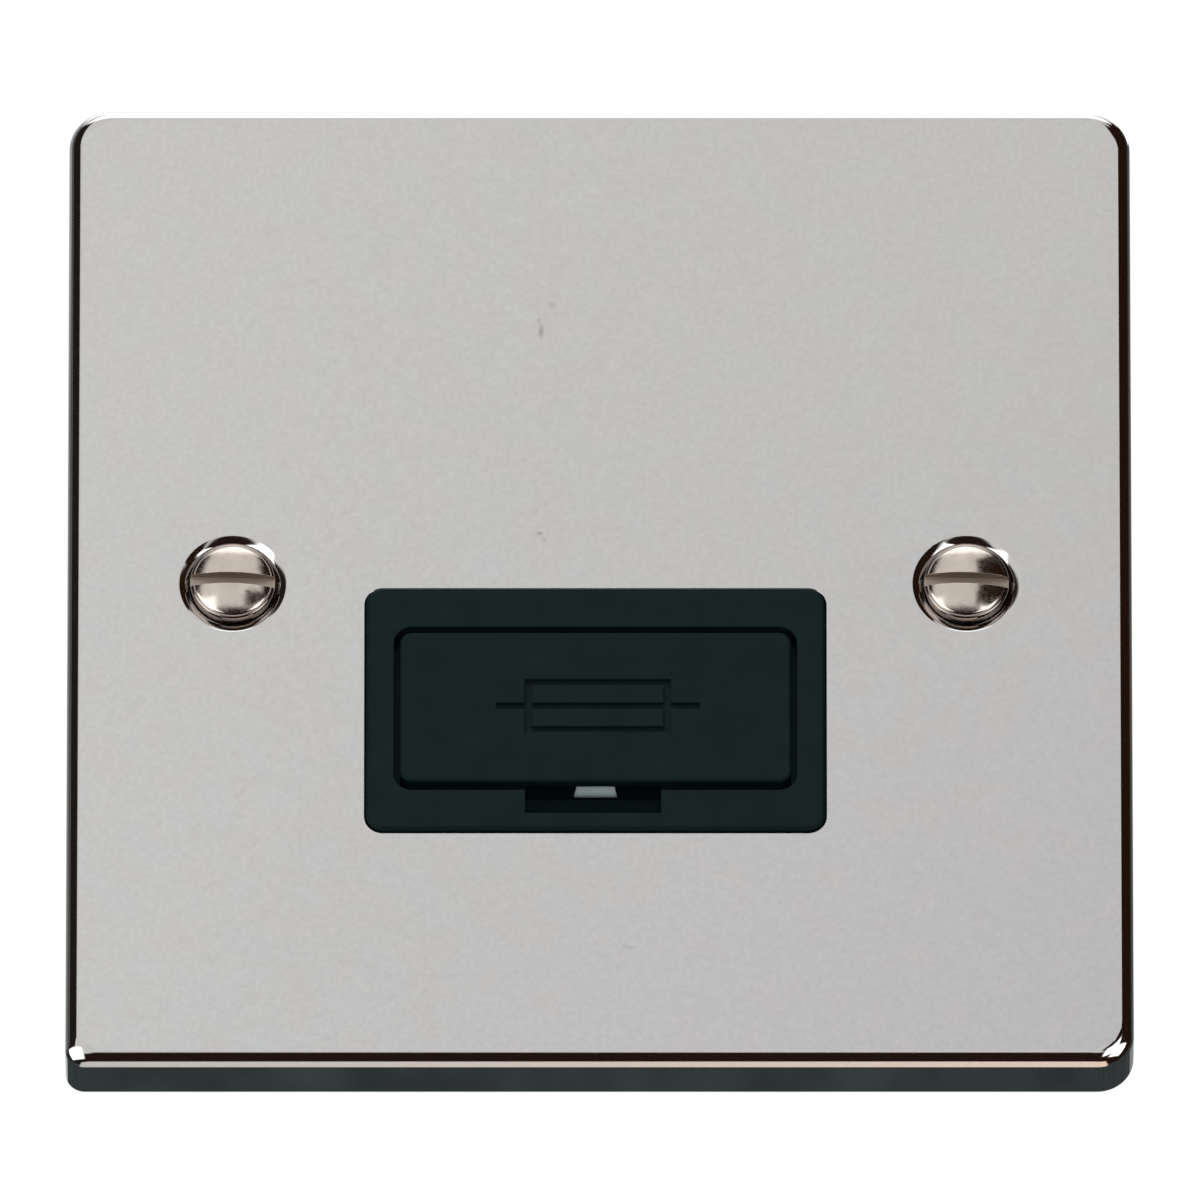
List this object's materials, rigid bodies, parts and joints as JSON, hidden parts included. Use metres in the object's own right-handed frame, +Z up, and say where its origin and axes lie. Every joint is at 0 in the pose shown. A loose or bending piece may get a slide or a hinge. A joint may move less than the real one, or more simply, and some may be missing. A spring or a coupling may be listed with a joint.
{
  "type": "fused spur unit",
  "caption": "Unswitched fused connection unit on a square polished metal plate, with a black insert, a pull-out fuse carrier and pillar terminals behind.",
  "frame": {"origin": "middle of the plate in the wall plane, half way between the two fixing screws", "axes": "+Z up as installed, -Y out of the wall towards the user, +X to the right of someone who faces the plate"},
  "size_m": [0.0876, 0.0261, 0.0876],
  "materials": {
    "polished_plate": "polished",
    "fixing_screws": "nickel plated steel",
    "black_moulding": "moulded, fine satin",
    "rear_moulding": "moulded",
    "ceramic": null,
    "brass": "plain",
    "nickel": "nickel plated brass",
    "plated_steel": "zinc plated"
  },
  "bodies": {
    "base": {"faceplate": "polished_plate", "front_moulding": "black_moulding", "rear_housing": "rear_moulding", "fuse_clip_supply": "brass", "fuse_clip_load": "brass", "neutral_link": "brass", "earth_strap": "brass", "live_supply_terminal": "brass", "neutral_supply_terminal": "brass", "neutral_load_terminal": "brass", "live_load_terminal": "brass", "earth_supply_terminal": "brass", "earth_load_terminal": "brass", "housing_screws": "plated_steel", "plate_studs": "plated_steel", "plate_nuts": "plated_steel"},
    "carrier": {"fuse_carrier": "black_moulding", "fuse_ceramic": "ceramic", "fuse_cap_supply": "nickel", "fuse_cap_load": "nickel"},
    "screw_left": {"fixing_screw_left": "fixing_screws"},
    "screw_right": {"fixing_screw_right": "fixing_screws"},
    "live_supply_clamp": {"live_supply_screw": "plated_steel"},
    "neutral_supply_clamp": {"neutral_supply_screw": "plated_steel"},
    "neutral_load_clamp": {"neutral_load_screw": "plated_steel"},
    "live_load_clamp": {"live_load_screw": "plated_steel"},
    "earth_supply_clamp": {"earth_supply_screw": "plated_steel"},
    "earth_load_clamp": {"earth_load_screw": "plated_steel"}
  },
  "joints": [
    {"name": "fuse_carrier_pull", "type": "slide", "parent": "base", "child": "carrier", "axis": [0, -1, 0], "range_m": [0, 0.018]},
    {"name": "fixing_screw_left_turn", "type": "hinge", "parent": "base", "child": "screw_left", "pos_m": [-0.03015, 0, 0], "axis": [0, 1, 0], "continuous": true},
    {"name": "fixing_screw_right_turn", "type": "hinge", "parent": "base", "child": "screw_right", "pos_m": [0.03015, 0, 0], "axis": [0, 1, 0], "continuous": true},
    {"name": "live_supply_screw_drive", "type": "slide", "parent": "base", "child": "live_supply_clamp", "axis": [0, -1, 0], "range_m": [0, 0.0036]},
    {"name": "neutral_supply_screw_drive", "type": "slide", "parent": "base", "child": "neutral_supply_clamp", "axis": [0, -1, 0], "range_m": [0, 0.0036]},
    {"name": "neutral_load_screw_drive", "type": "slide", "parent": "base", "child": "neutral_load_clamp", "axis": [0, -1, 0], "range_m": [0, 0.0036]},
    {"name": "live_load_screw_drive", "type": "slide", "parent": "base", "child": "live_load_clamp", "axis": [0, -1, 0], "range_m": [0, 0.0036]},
    {"name": "earth_supply_screw_drive", "type": "slide", "parent": "base", "child": "earth_supply_clamp", "axis": [0, -1, 0], "range_m": [0, 0.0036]},
    {"name": "earth_load_screw_drive", "type": "slide", "parent": "base", "child": "earth_load_clamp", "axis": [0, -1, 0], "range_m": [0, 0.0036]}
  ]
}
